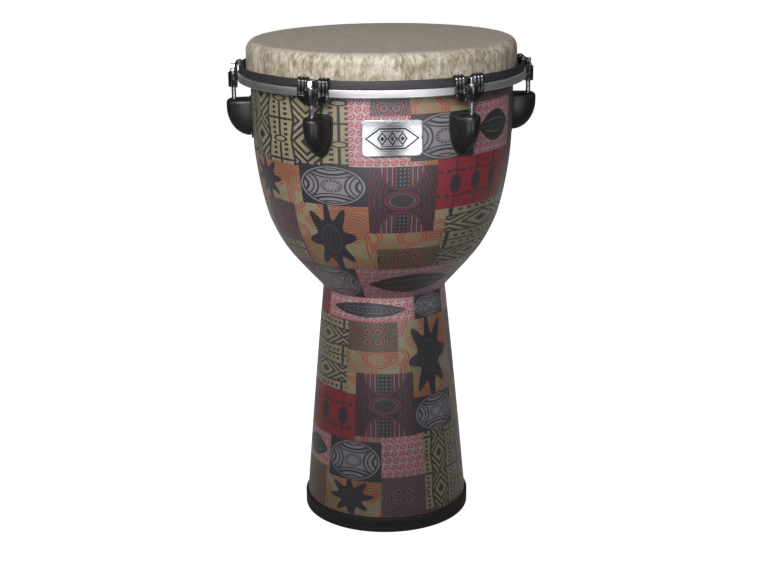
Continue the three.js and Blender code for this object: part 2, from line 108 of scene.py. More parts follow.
def outside_of(node):
    """(radius, height) along a turned node's outside, from its faces below the badge."""
    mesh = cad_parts[node].data
    found = {}
    for polygon in mesh.polygons:
        azimuth, _, outward = facing(polygon)
        if abs(azimuth) > 8 or outward < 0.25:
            continue
        for index in polygon.vertices:
            x, y, z = mesh.vertices[index].co
            height = round(z * 1000, 2)
            found[height] = max(found.get(height, 0), math.hypot(x, y) * 1000)
    return np.array([(radius, height) for height, radius in sorted(found.items())])


film_low, film_high = box_mm("drumhead_film")
film_r, drum_top = film_high[0], film_high[2]
hoop_low, hoop_high = box_mm("drumhead_hoop")
hoop_r = hoop_high[0]
rim_low, rim_high = box_mm("counterhoop")
rim_r = rim_high[0]
foot_high = box_mm("foot_ring")[1]
foot_r = foot_high[0]
badge_low, badge_high = box_mm("badge_plate")
badge_centre_z = (badge_low[2] + badge_high[2]) / 2
claw_low, claw_high = station_box("hook_claw_1")
rod_low, rod_high = station_box("tension_rod_1")
rod_axis_r = (rod_low[0] + rod_high[0]) / 2
casing_low, casing_high = station_box("lug_casing_1")
gasket_low, gasket_high = station_box("lug_gasket_1")
bowl_outside = outside_of("shell_bowl")
stem_outside = outside_of("shell_stem")

WALL = 8
FILM_THICKNESS = 0.6
CROWN_WIDTH, CROWN_DROP = 11.6, 14  # the rounded edge of the drumhead
BORE_R = 76  # the waist's bore, which takes the stem
SPIGOT_R = 75.7  # the stem's top, inside that bore
HOOP_INNER_R = 176.2
FLANGE_R = 181  # inner edge of the counterhoop
ROD_R = 3
CASING_BASE_R = 175
WIDEST_DROP = 11.4  # from the casing's top down to its widest line
CLAW_GAP = 0.3  # between the claw and the drumhead's hoop


# ---- Mesh helpers ----


def lengths(points):
    """How far along a line of points each of them lies."""
    return np.cumsum(np.r_[0, np.linalg.norm(np.diff(points, axis=0), axis=1)])


def smooth_chain(points, steps):
    """A Catmull-Rom curve through the points."""
    points = np.asarray(points, float)
    padded = np.vstack([2 * points[0] - points[1], points, 2 * points[-1] - points[-2]])
    chain = []
    for i in range(1, len(padded) - 2):
        before, start, end, after = padded[i - 1 : i + 3]
        for t in np.arange(steps) / steps:
            bend = 2 * before - 5 * start + 4 * end - after
            twist = 3 * start - before - 3 * end + after
            chain.append(0.5 * (2 * start + (end - before) * t + bend * t**2 + twist * t**3))
    return np.array(chain + [points[-1]])


def spread(points, count):
    """A closed outline as a number of evenly spaced points."""
    points = np.asarray(points + [points[0]], float)
    length = lengths(points)
    where = np.arange(count) / count * length[-1]
    return np.stack([np.interp(where, length, points[:, i]) for i in range(2)], 1)


def level(x, y, z):
    """A ring of points at one height."""
    return np.stack([x, y, np.full(len(x), float(z))], 1)


def circles(outline, count):
    """Rings round the Z axis from (radius, height) pairs."""
    angles = np.arange(count) * (2 * math.pi / count) - math.pi / 2
    return [level(radius * np.cos(angles), radius * np.sin(angles), z) for radius, z in outline]


def lofted(rings, closed=False):
    """Quads between neighbouring rings, which run counter-clockwise and go up on the outside.

    The first and last ring are capped, or joined to each other when closed.
    """
    count = len(rings[0])
    faces = []
    for row in range(len(rings) if closed else len(rings) - 1):
        low, high = row * count, ((row + 1) % len(rings)) * count
        for i in range(count):
            j = (i + 1) % count
            faces.append((low + i, low + j, high + j, high + i))
    if not closed:
        last = (len(rings) - 1) * count
        faces.append(tuple(range(count - 1, -1, -1)))
        faces.append(tuple(last + i for i in range(count)))
    return np.vstack(rings), faces


def turned(outline, segments=240):
    """A closed outline of (radius, height) turned about the Z axis, up on the outside."""
    return lofted(circles(outline, segments), closed=True)


def on_rod_axis(shape):
    """A shape made round the Z axis, put round the rod's."""
    points, faces = shape
    return points + np.array([rod_axis_r, 0, 0]), faces


def plug(*outline):
    """A round plug on the rod's axis, from (radius, height) pairs, to cut a hole with."""
    return on_rod_axis(lofted(circles(outline, 40)))


def arc(centre_r, centre_z, radius, start, end, steps, height=None):
    """Points of a circular arc, or of an elliptical one of the given height, angles in degrees."""
    height = radius if height is None else height
    angles = np.radians(np.linspace(start, end, steps + 1))
    return [(centre_r + radius * math.cos(a), centre_z + height * math.sin(a)) for a in angles]


def joined(*parts):
    """Several (points, faces) as one."""
    faces, start = [], 0
    for points, polygons in parts:
        faces += [tuple(start + i for i in polygon) for polygon in polygons]
        start += len(points)
    return np.vstack([points for points, _ in parts]), faces


def placed(name, shape, sharp=40):
    """A new object; its edges stay sharp where they turn by more than an angle in degrees."""
    points, faces = shape
    mesh = bpy.data.meshes.new(name)
    mesh.from_pydata((np.asarray(points) / 1000).tolist(), [], faces)
    editable = bmesh.new()
    editable.from_mesh(mesh)
    bmesh.ops.remove_doubles(editable, verts=editable.verts, dist=2e-6)
    bmesh.ops.recalc_face_normals(editable, faces=editable.faces)
    editable.to_mesh(mesh)
    editable.free()
    mesh.shade_smooth()
    mesh.set_sharp_from_angle(angle=math.radians(sharp))
    made = bpy.data.objects.new(name, mesh)
    bpy.context.scene.collection.objects.link(made)
    return made


def piece(name, shape, material, body, stands_for, sharp=40):
    """A new visible piece that rides a body, if one is given, and stands for a CAD node.

    It gets one material slot, which holds the material.
    """
    shown = placed(name, shape, sharp)
    shown.data.materials.append(material)
    if body:
        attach(shown, body)
    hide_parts(stands_for)
    return shown


def with_modifiers(shape, modifiers):
    """The shape after a stack of modifiers, each given as its kind and its settings."""
    scratch = placed("scratch", shape)
    for kind, settings in modifiers:
        modifier = scratch.modifiers.new(kind, kind)
        for key, value in settings.items():
            setattr(modifier, key, value)
    graph = bpy.context.evaluated_depsgraph_get()
    result = bpy.data.meshes.new_from_object(scratch.evaluated_get(graph))
    bpy.data.objects.remove(scratch)
    return points_mm(result), [tuple(polygon.vertices) for polygon in result.polygons]


def cut(shape, *cutter_shapes):
    """The shape with the cutters taken out of it."""
    cutters = [placed("cutter", cutter_shape) for cutter_shape in cutter_shapes]
    settings = {"operation": "DIFFERENCE", "solver": "EXACT"}
    result = with_modifiers(shape, [("BOOLEAN", {**settings, "object": cutter}) for cutter in cutters])
    for cutter in cutters:
        bpy.data.objects.remove(cutter)
    return result


# ---- Material helpers ----


def colour(red, green, blue):
    """A linear colour from 0-255 display values, all above 10."""
    return (*(((c / 255 + 0.055) / 1.055) ** 2.4 for c in (red, green, blue)), 1)


def connect(item, socket):
    """Links a Value or a node's output to the socket, or sets the socket to a number or a colour."""
    if isinstance(item, Value):
        item = item.socket
    if isinstance(item, bpy.types.NodeSocket):
        socket.id_data.links.new(item, socket)
    else:
        socket.default_value = item


class Value:
    """A number at every point of a surface; arithmetic on it adds math nodes to its tree."""

    def __init__(self, socket):
        self.socket = socket

    def math(self, operation, *others, clamp=False):
        node = self.socket.id_data.nodes.new("ShaderNodeMath")
        node.operation = operation
        node.use_clamp = clamp
        for item, slot in zip((self, *others), node.inputs):
            connect(item, slot)
        return Value(node.outputs[0])

    __add__ = partialmethod(math, "ADD")
    __sub__ = partialmethod(math, "SUBTRACT")
    __mul__ = partialmethod(math, "MULTIPLY")
    __truediv__ = partialmethod(math, "DIVIDE")
    __abs__ = partialmethod(math, "ABSOLUTE")
    sine = partialmethod(math, "SINE")
    fraction = partialmethod(math, "FRACT")

    def flipped(self):
        return self * -1 + 1

    def wrapped(self, period):
        """The value repeated every period, running from minus half a period to plus half."""
        return self.math("WRAP", period / 2, -period / 2)


def any_of(*masks):
    return reduce(lambda first, second: first.math("MAXIMUM", second), masks)


def all_of(*masks):
    return reduce(lambda first, second: first.math("MINIMUM", second), masks)


def reach(x, y):
    return (x * x + y * y).math("SQRT")


def turn_of(x, y):
    """The polar angle in turns."""
    return y.math("ARCTAN2", x) / (2 * math.pi)


def inside(distance, softness=0.5):
    """1 where the distance is below zero, with a soft edge."""
    return (distance * (-1 / softness)).math("ADD", 0.5, clamp=True)


def line(distance, width, softness=0.5):
    return inside(abs(distance) - width / 2, softness)


class Finish:
    """A material under construction: a Principled surface and short calls for the nodes used here."""

    def __init__(self, name, **inputs):
        self.material = bpy.data.materials.new(name)
        self.material.use_nodes = True
        self.tree = self.material.node_tree
        self.surface = self.tree.nodes["Principled BSDF"]
        for label, value in inputs.items():
            self.set(label.replace("_", " "), value)
        self.place = self.node("ShaderNodeTexCoord").outputs["Object"]

    def node(self, kind, inputs=(), **settings):
        """A new node with these attributes, and these items on its inputs."""
        made = self.tree.nodes.new(kind)
        for key, value in settings.items():
            setattr(made, key, value)
        for key, item in dict(inputs).items():
            connect(item, made.inputs[key])
        return made

    def set(self, label, item):
        connect(item, self.surface.inputs[label])

    def axes(self, source=None):
        """The three coordinates of a position, in millimetres."""
        split = self.node("ShaderNodeSeparateXYZ", {0: source or self.place})
        factor = 1 if source else 1000
        return [Value(output) * factor for output in split.outputs]

    def mapped(self, name):
        """The two coordinates of a UV map."""
        return self.axes(self.node("ShaderNodeUVMap", uv_map=name).outputs[0])[:2]

    def noise(self, size, detail=3, rough=0.55, wide=1, tall=1, warp=0, seed=0):
        """Noise with features of a size in millimetres, longer across by wide and upwards by tall."""
        scale = [1000 / size / factor for factor in (wide, wide, tall)]
        start = (seed * 7.3, seed * 3.1, seed * 5.7)
        mapping = self.node("ShaderNodeMapping", {0: self.place, "Scale": scale, "Location": start})
        labels = ("Vector", "Scale", "Detail", "Roughness", "Distortion")
        items = zip(labels, (mapping.outputs[0], 1, detail, rough, warp))
        return Value(self.node("ShaderNodeTexNoise", items).outputs["Fac"])

    def ranged(self, value, new_low, new_high, low=0.3, high=0.7):
        """The value's range from low to high laid over a new one, and held at its ends."""
        labels = ("Value", "To Min", "To Max", "From Min", "From Max")
        items = zip(labels, (value, new_low, new_high, low, high))
        return Value(self.node("ShaderNodeMapRange", items).outputs[0])

    def mix(self, first, second, factor):
        items = {0: factor, 6: first, 7: second}
        return self.node("ShaderNodeMix", items, data_type="RGBA").outputs[2]

    def shaded(self, base, value, *limits):
        """The colour times a value, with limits as in ranged."""
        items = {0: base[:3] if isinstance(base, tuple) else base, "Scale": self.ranged(value, *limits)}
        return self.node("ShaderNodeVectorMath", items, operation="SCALE").outputs[0]

    def bump(self, height, depth, strength):
        """Relief from a height value that spans 0 to 1, depth in millimetres."""
        normal = self.surface.inputs["Normal"]
        items = {"Strength": strength, "Distance": depth / 1000, "Height": height}
        if normal.links:
            items["Normal"] = normal.links[0].from_socket
        self.set("Normal", self.node("ShaderNodeBump", items).outputs[0])


# ---- Printed patchwork of the shell: generic geometric motifs ----

KHAKI = colour(148, 138, 108)
NAVY = colour(41, 40, 49)
RED = colour(136, 35, 48)
CRIMSON = colour(172, 44, 56)
ROSE = colour(170, 152, 156)
GREY = colour(138, 133, 140)
ORANGE = colour(170, 56, 46)
OCHRE = colour(142, 116, 86)
OLIVE = colour(56, 53, 46)


def mudcloth(look, x, y, on_its_side, lift):
    """Ladders of small squares between nested diamonds; the print widens with the shell it wraps."""
    place_x, place_y, _ = look.axes()
    across = x / reach(place_x, place_y) * 95
    first, second = (y, across / 1.35) if on_its_side else (across - 3, y + lift)
    a, b = abs(first.wrapped(50)), abs(second.wrapped(52))
    squares = all_of(line(second.wrapped(6.5), 3.3), line(a - 6, 3.6), inside(b * -1 + 4.8))
    slope = a - 11.5 - b * 0.1
    side = line(slope, 2.2)
    spine = all_of(line(a, 2.2), inside(b * -1 + 4.2))
    rail = all_of(line(b - 26, 2.6), inside(a - 15))
    eye = line((reach(a / 6, b / 3.6) - 1) * 4, 1.8)
    diamond = (abs(a - 25) / 11 + b / 15) * 9
    nested = [line(diamond - size, 2.5) for size in (9.6, 15, 20.5)]
    nested = all_of(any_of(inside(diamond - 4.2), *nested), inside(slope * -1))
    return look.mix(KHAKI, NAVY, any_of(squares, side, spine, rail, eye, nested))


def scrolls(look, x, y):
    """Columns of S-shaped double curls, and dots between them."""
    pitch, arm = 3.1, 4.7
    across, along = x.wrapped(10.5), y.wrapped(19)
    half = along.math("SIGN")
    a, b = across * half, along * half - arm
    turn = (turn_of(a, b) + 0.25).fraction()
    winding = (reach(a, b) * -1 + arm) / pitch + turn
    curl = all_of(line(winding.wrapped(1) * pitch, 1.6), inside(winding * -4 + 2.4))
    dots = inside(reach(abs(across) - 5.25, b + 1.5) - 1)
    return look.mix(ROSE, CRIMSON, any_of(curl, dots))


def leaf(look, x, y):
    """A dark pointed leaf with slits, on the scrolls."""
    u, v = look.mapped("patch")
    rise = abs(v) * 40
    blade = inside(rise - (u * u * -1 + 0.72) * 34, 1)
    slits = all_of(line(rise - (u * u * -1 + 0.6) * 17, 1.4), inside(abs(u) * 40 - 22))
    dots = all_of(inside(reach(x.wrapped(6.5), y.wrapped(6.5)) - 0.9), inside(rise - 4))
    darkened = look.mix(scrolls(look, x, y), NAVY, blade)
    return look.mix(darkened, GREY, any_of(slits, dots) * 0.6)


def contour_lines(x, y, pitch, width):
    """Flowing lines at equal levels of a rolling surface, as an ink mask."""
    rolling = (x / 15 + (y / 12).sine() * 0.9).sine() + (y / 13 + 1.1 - (x / 19).sine() * 0.7).sine()
    return line(((rolling * (13.5 / pitch)).fraction() - 0.5) * pitch, width)


def contours(look, x, y, star):
    """Orange waves, stripes and ovals on ochre and khaki, with a dark many-armed star where wanted."""
    swell = (x / 8.5 + (y / 13).sine() * 0.9).sine() * 5 + (x / 27).sine() * 6
    zones = ((x / 21 + 0.7).sine() + (y / 13 - 0.4).sine()) * 8
    waves = all_of(line((y + swell).wrapped(4.1), 1.5), inside(zones * -1 + 1))
    stripes = all_of(line(x.wrapped(5), 2), inside(abs(x.wrapped(46) - 2.5) - 7.4), inside(zones + 1))
    a, b = x.wrapped(58) - 6, y.wrapped(46) - 5
    oval = reach(a / 1.5, b)
    dashes = all_of(line(b.wrapped(3.6), 1.1), line(a.wrapped(5), 2.4), inside(oval - 7.5))
    rings = any_of(line(oval - 9.5, 1.4), line(oval - 12.6, 1.4), dashes)
    ink = any_of(all_of(any_of(waves, stripes), inside(oval * -1 + 14.5)), rings)
    base = look.mix(OCHRE, KHAKI, inside((x / 31).sine() * (y / 22).sine() * 6, 3))
    base = look.mix(base, ORANGE, ink)
    if star:
        rise = look.mapped("patch")[1] * 30
        radius, turn = reach(x, rise), turn_of(x, rise) * (2 * math.pi)
        arms = ((turn * 8 + 0.9).sine() * 0.5 + 0.5).math("POWER", 1.5)
        edge = arms * 15 + 19 + (turn * 3).sine() * 1.8
        base = look.mix(base, NAVY, inside(radius - edge, 0.8))
        marks = any_of(line(radius - 13, 0.9), all_of(line(x.wrapped(6), 0.8), inside(radius - 12)))
        base = look.mix(base, GREY, marks * 0.2)
    return base


def ovals(look, *_):
    """A pale oval in a thin ring, filled with crescents from its four sides and a toothed hub."""
    soft = 0.02
    u, v = look.mapped("patch")
    around = reach(u, v)
    side = reach(abs(u) - 1.02, v * 0.85)
    cap = reach(u * 0.8, abs(v) - 1.2)
    side_arcs = [line(side - at, width, soft) for at, width in ((0.62, 0.06), (0.48, 0.05), (0.3, 0.09))]
    cap_arcs = [line(cap - at, width, soft) for at, width in ((0.8, 0.06), (0.64, 0.1), (0.44, 0.06))]
    arcs = any_of(*side_arcs, inside(side - 0.1, soft), *cap_arcs, inside(cap - 0.28, soft))
    wedges = all_of(inside(around * -1 + 0.72, soft), inside(side * -1 + 0.62), inside(cap * -1 + 0.8))
    teeth = all_of(line((turn_of(u, v) * 14).fraction() - 0.5, 0.42, 0.1), line(around - 0.24, 0.09, soft))
    hub = any_of(teeth, line(around - 0.31, 0.03, soft))
    pale = all_of(inside(around - 0.86, soft), any_of(arcs, wedges, hub).flipped())
    return look.mix(NAVY, GREY, any_of(pale, line(around - 0.94, 0.05, soft)))


def spindles(look, x, y):
    """Dark spindles with oval bodies and barred ends in a row on red."""
    a, b = abs(x.wrapped(34)), abs(y)
    body = inside((reach(a / 8.5, b / 12.5) - 1) * 8)
    stalk = all_of(line(a, 2.6), inside(b - 31))
    bars = all_of(line(b - 18 + a * 0.2, 2.3), inside(a - 12))
    knobs = inside(reach(a - 12, b - 16) - 2.6)
    return look.mix(RED, NAVY, any_of(body, stalk, bars, knobs) * 0.92)


def medallion(look, x, y):
    """Nested ovals between two half discs with bars and beads, and waves at the sides."""
    oval = (reach(x / 21, y / 12) - 1) * 14
    half_disc = reach(x, abs(y) - 44) - 27
    barred = all_of(inside(half_disc), inside(oval * -1 + 3))
    beaded = inside(abs(x) - 8)
    wide_bars = all_of(line(x.wrapped(6.4), 1.7), barred, beaded.flipped())
    thin_bars = all_of(line((x + 3.2).wrapped(6.4), 1.2), barred, beaded.flipped())
    beads = inside(reach((x + 2.6).wrapped(5.2), y.wrapped(5.2)) - 1.1)
    rim = line(half_disc - 1.6, 1.2)
    waves = contour_lines(abs(x), abs(y), 4.4, 1.1)
    waves = all_of(waves, inside(half_disc * -1 + 4), inside(oval * -1 + 4))
    within = all_of(beads, inside(oval + 5))
    base = look.mix(NAVY, GREY, any_of(wide_bars, all_of(beads, barred, beaded)) * 0.7)
    base = look.mix(base, RED, any_of(thin_bars, rim, line(oval, 1.6), within * 0.5, waves * 0.62))
    return look.mix(base, ROSE, line(oval + 3.2, 0.9) * 0.4)


def tracery(look, x, y, ground, first, second):
    """Fine mirrored line work in two inks."""
    fine = contour_lines(abs(x) * 1.7, abs(y) * 1.7, 4.6, 1.7)
    coarse = contour_lines(abs(y) * 1.2 + 9, abs(x) * 1.2 + 5, 6.5, 1.7)
    radius = reach(x / 1.4, y)
    core = all_of(line((radius - 9).wrapped(5), 1.3), inside(radius - 14))
    return look.mix(look.mix(ground, first, fine * 0.55), second, any_of(coarse, core) * 0.66)


def printed(name, motif, *details):
    """The motif's colours under what all prints share: woven grain, uneven ink, satin and scuffs."""
    look = Finish("print_" + name, Coat_Weight=0.9, Coat_Roughness=0.36)
    base = motif(look, *look.mapped("print"), *details)
    grain = look.noise(1.1, detail=2, rough=0.7)
    cloudy = look.noise(46, seed=2)
    toned = look.shaded(look.shaded(base, grain, 0.78, 1.2), cloudy, 0.88, 1.1)
    scuffs = look.noise(16, detail=6, rough=0.75, tall=2.2, seed=4)
    look.set("Base Color", look.mix(toned, GREY, look.ranged(scuffs, 0, 0.22, 0.66, 0.78)))
    look.set("Roughness", look.ranged(scuffs, 0.44, 0.6, 0.35, 0.7))
    look.bump(grain, 0.12, 0.6)
    return look.material


def plain_core():
    """The resin-bonded fibre of the shell, bare inside and underneath."""
    look = Finish("shell_core", Roughness=0.8)
    fibres = look.noise(5, detail=6, rough=0.7, tall=3, warp=1.5)
    look.set("Base Color", look.mix(colour(92, 74, 56), colour(134, 112, 86), look.ranged(fibres, 0, 1)))
    look.bump(fibres, 0.5, 0.7)
    return look.material


def shell_materials():
    motifs = {
        "mudcloth": (mudcloth, False, 18.5),
        "mudcloth_low": (mudcloth, False, -23),
        "mudcloth_turned": (mudcloth, True, 0),
        "scrolls": (scrolls,),
        "leaf": (leaf,),
        "contours": (contours, False),
        "contours_star": (contours, True),
        "ovals": (ovals,),
        "spindles": (spindles,),
        "medallion": (medallion,),
        "tracery_olive": (tracery, OLIVE, KHAKI, RED),
        "tracery_dark": (tracery, NAVY, GREY, RED),
    }
    return {"core": plain_core(), **{name: printed(name, *motif) for name, motif in motifs.items()}}


# ---- Other materials ----


def drumhead_material():
    """Mottled skin: tan clouds, vertical fibres and fine felt, browner along the shoulder."""
    look = Finish("head_film", Coat_Weight=0.1, Coat_Roughness=0.4, Subsurface_Weight=0.05)
    look.set("Subsurface Radius", (0.004, 0.003, 0.002))
    height = look.axes()[2]
    clouds = look.noise(17, detail=5, rough=0.62, tall=1.6, warp=0.9)
    streaks = look.noise(6, detail=5, rough=0.6, tall=3.2, warp=1.1, seed=1)
    felt = look.noise(2.2, detail=4, rough=0.65, tall=1.4, warp=2.4, seed=2)
    veins = look.noise(7, detail=4, rough=0.5, tall=2.6, warp=2.4, seed=5)
    base = look.mix(colour(136, 120, 96), colour(186, 176, 158), look.ranged(clouds, 0, 1, 0.38, 0.6))
    base = look.mix(base, colour(208, 200, 186), look.ranged(streaks, 0, 0.85, 0.5, 0.66))
    base = look.mix(base, colour(112, 94, 68), look.ranged(streaks, 0, 0.75, 0.46, 0.34))
    base = look.shaded(base, felt, 0.72, 1.12, 0.35, 0.65)
    base = look.mix(base, colour(222, 214, 200), line(veins - 0.5, 0.018, 0.02) * 0.6)
    base = look.mix(base, colour(98, 80, 54), line(veins - 0.42, 0.012, 0.016) * 0.6)
    shoulder = line(height - (drum_top - 1.2) - clouds * 3, 2.8, 3.4)
    shoulder = shoulder * look.ranged(streaks, 1, 0.4, 0.3, 0.6)
    base = look.mix(base, colour(96, 78, 54), shoulder * 0.9)
    greyed = look.mix(base, colour(176, 168, 158), 0.55)
    top = look.ranged(height, 0, 1, drum_top - 4, drum_top - 0.5)
    look.set("Base Color", look.mix(base, greyed, top))
    look.set("Roughness", look.ranged(clouds, 0.52, 0.66))
    look.bump(streaks, 0.5, 0.6)
    look.bump(felt, 0.12, 0.5)
    return look.material


def brushed_metal(name, base, roughness, groove=14, ink=None):
    """Metal with level grooves, groove times as long as they are wide; with an ink mask, also that ink and
    a painted reflection.
    """
    look = Finish(name, Metallic=1.0)
    grooves = look.noise(0.9, rough=0.7, wide=groove)
    smudges = look.noise(22, detail=4, seed=3)
    toned = look.shaded(look.shaded(base, grooves, 0.94, 1.05), smudges, 0.95, 1.04)
    look.set("Roughness", look.ranged(grooves, roughness - 0.04, roughness + 0.07))
    look.bump(grooves, 0.03, 0.5)
    if ink:
        mask = ink(look)
        # Painted reflection: the colour is darker in the middle of the plate and lighter towards its left
        # and right ends.
        toned = look.shaded(toned, abs(look.axes()[0]), 0.6, 0.86, 4, 32)
        toned = look.mix(toned, colour(22, 22, 28), mask)
        look.set("Metallic", mask.flipped())
    look.set("Base Color", toned)
    return look


def badge_ornament(look):
    """Black ink: a double-lined six-sided frame round three diamonds and two bars."""
    soft = 0.3
    x, _, z = look.axes()
    z = abs(z - badge_centre_z)
    edge = any_of(abs(x) * 0.6 + z * 0.8 - 19.5, z - 12.5)
    diamonds = (abs(x.wrapped(12.5)) / 5.4 + z / 7.4 - 1) * 4.5
    row = any_of(line(diamonds, 1.6, soft), inside(diamonds + 2.6, soft))
    row = all_of(row, inside(abs(x) - 18.5, soft))
    bars = all_of(line(z - 9.3, 1.2, soft), inside(abs(x) - 14, soft))
    return any_of(line(edge, 2, soft), line(edge - 2.8, 0.6, soft) * 0.6, row, bars)


def glossy(name, base, size, seed, shades, roughnesses, **inputs):
    """A smooth surface with a faint haze over its colour and its gloss."""
    look = Finish(name, **inputs)
    haze = look.noise(size, detail=4, seed=seed)
    look.set("Base Color", look.shaded(base, haze, *shades))
    look.set("Roughness", look.ranged(haze, *roughnesses))
    return look


def claw_enamel():
    """Gloss black enamel over a casting, with faint orange peel."""
    black = colour(18, 17, 20)
    look = glossy("claw_black", black, 14, 2, (0.8, 1.2), (0.1, 0.22), Coat_Weight=1, Coat_Roughness=0.05)
    look.bump(look.noise(2.2, detail=2), 0.03, 0.4)
    return look.material


def satin_black(name, base, roughness, size=0.7, depth=0.08):
    """Textured black coating or moulding with faint dust and wear."""
    look = Finish(name)
    texture = look.noise(size, rough=0.6)
    dust = look.noise(18, detail=6, rough=0.7, seed=6)
    toned = look.shaded(base, texture, 0.8, 1.2)
    look.set("Base Color", look.mix(toned, colour(120, 116, 112), look.ranged(dust, 0, 0.07, 0.55, 0.8)))
    look.set("Roughness", look.ranged(dust, roughness - 0.05, roughness + 0.08))
    look.bump(texture, depth, 0.5)
    return look.material


# ---- Printed shell ----

# Patches of the print: azimuth from, to (degrees), height from, to (mm), motif. Later ones lie on top.
# The layout covers half the drum and comes again on the other half.
BOWL_PATCHES = [
    (-90, 90, 320, 650, "contours"),
    (-90, -18, 516, 616, "mudcloth"),
    (-18, 12, 520, 616, "scrolls"),
    (-9, 7.5, 584, 616, "tracery_dark"),
    (7.5, 38, 585, 616, "contours"),
    (8, 38, 526, 585, "ovals"),
    (38, 66, 526, 592, "leaf"),
    (38, 66, 592, 616, "tracery_dark"),
    (66, 90, 526, 616, "tracery_dark"),
    (19.5, 61, 460, 526, "spindles"),
    (61, 90, 460, 526, "tracery_olive"),
    (-11, 19.5, 432, 520, "medallion"),
    (-42, -11, 468, 520, "ovals"),
    (-90, -42, 464, 516, "contours_star"),
    (-48, -11, 377, 468, "contours_star"),
    (-11, 26, 409, 432, "contours"),
    (-90, -69, 377, 464, "mudcloth"),
    (-69, -48, 408, 464, "tracery_dark"),
    (-69, -48, 377, 408, "mudcloth"),
    (-11, -7, 377, 409, "contours"),
    (-7, 25, 377, 409, "tracery_olive"),
    (26, 72, 374, 460, "mudcloth_turned"),
    (72, 90, 374, 460, "spindles"),
    (-57, -21, 324, 377, "ovals"),
    (-21, 54, 324, 377, "leaf"),
    (54, 90, 324, 374, "contours"),
    (-90, -57, 324, 377, "spindles"),
    (-90, 90, 616, 645, "scrolls"),
]
STEM_PATCHES = [
    (-90, 90, 20, 330, "contours"),
    (-90, -63, 292, 330, "spindles"),
    (-63, 24, 292, 330, "leaf"),
    (24, 60, 293, 330, "ovals"),
    (60, 90, 292, 330, "scrolls"),
    (-90, -37, 192, 292, "mudcloth_turned"),
    (-37, 8, 252, 292, "tracery_olive"),
    (-37, 8, 222, 252, "contours"),
    (8, 66, 186, 293, "contours_star"),
    (66, 90, 192, 292, "medallion"),
    (-29, 20, 134, 222, "medallion"),
    (-90, -29, 127, 192, "spindles"),
    (20, 60, 136, 186, "ovals"),
    (60, 90, 136, 192, "contours"),
    (-90, -51, 80, 127, "leaf"),
    (-51, -8, 71, 127, "ovals"),
    (-8, 25, 78, 134, "scrolls"),
    (25, 81, 22, 136, "mudcloth_low"),
    (81, 90, 22, 136, "tracery_dark"),
    (-54, -8, 22, 71, "contours_star"),
    (-8, 25, 22, 78, "tracery_dark"),
    (-90, -54, 22, 80, "tracery_olive"),
]


def printed_rows(chain, patches, spacing=4):
    """(radius, height) rows of the outside, with a row at every patch border."""
    length = lengths(chain)
    low, high = chain[0, 1], chain[-1, 1]
    regular = np.interp(np.arange(0, length[-1], spacing), length, chain[:, 1])
    borders = sorted({z for patch in patches for z in patch[2:4] if low < z < high} | {low, high})
    rows = [z for z in regular if min(abs(z - border) for border in borders) > spacing / 3]
    heights = np.array(sorted(rows + borders))
    return np.stack([np.interp(heights, chain[:, 1], chain[:, 0]), heights], 1)


def printed_shell(name, outline, chain, patches, materials):
    """A turned part of the shell; each face of its outside gets its patch's motif and UV maps."""
    core, stands_for = materials["core"], "shell_" + name
    shown = piece(name, turned(outline), core, "shell", stands_for)
    shown.data.materials.clear()
    for material in materials.values():
        shown.data.materials.append(material)
    names = list(materials)
    length = lengths(chain)
    in_mm = shown.data.uv_layers.new(name="print")
    in_shares = shown.data.uv_layers.new(name="patch")
    for polygon in shown.data.polygons:
        azimuth, radius, outward = facing(polygon)
        height = polygon.center.z * 1000
        off_chain = abs(radius * 1000 - np.interp(height, chain[:, 1], chain[:, 0]))
        if outward < 0.2 or off_chain > 0.6 or not chain[0, 1] <= height <= chain[-1, 1]:
            continue
        folded = (azimuth + 90) % 180 - 90
        for patch in patches:
            if patch[0] <= folded < patch[1] and patch[2] <= height < patch[3]:
                left, right, low, high, motif = patch
        polygon.material_index = names.index(motif)
        middle = azimuth - folded + (left + right) / 2
        start, end = np.interp([low, high], chain[:, 1], length)
        for corner in polygon.loop_indices:
            x, y, z = shown.data.vertices[shown.data.loops[corner].vertex_index].co * 1000
            turn = (azimuth_of(x, y) - middle + 180) % 360 - 180
            climb = np.interp(z, chain[:, 1], length) - (start + end) / 2
            in_mm.data[corner].uv = (math.radians(turn) * math.hypot(x, y), climb)
            in_shares.data[corner].uv = (turn / ((right - left) / 2), climb / ((end - start) / 2))


def bowl(materials):
    chain = smooth_chain(bowl_outside[bowl_outside[:, 1] < drum_top - 10], 6)
    outside = printed_rows(chain, BOWL_PATCHES)
    (low_r, floor), top_r = outside[0], outside[-1][0]
    inside_wall = [(r - WALL, z) for r, z in outside[::-5] if z > floor + 22]
    neck = box_mm("shell_bowl")[0][2]
    outline = [
        (BORE_R, neck), (low_r - 2.4, neck),
        *arc(low_r - 1.6, neck + 1.3, 1.4, -80, -10, 3),
        *outside,
        (top_r - 2.6, drum_top - 5),
        *arc(168.6, drum_top - 4, 2.4, 20, 160, 6, height=2.95),
        (top_r - WALL, drum_top - 7),
        *inside_wall,
        (inside_wall[-1][0] - 6, neck + 18), (BORE_R + 3, neck + 16), (BORE_R, neck + 14),
    ]
    printed_shell("bowl", outline, chain, BOWL_PATCHES, materials)


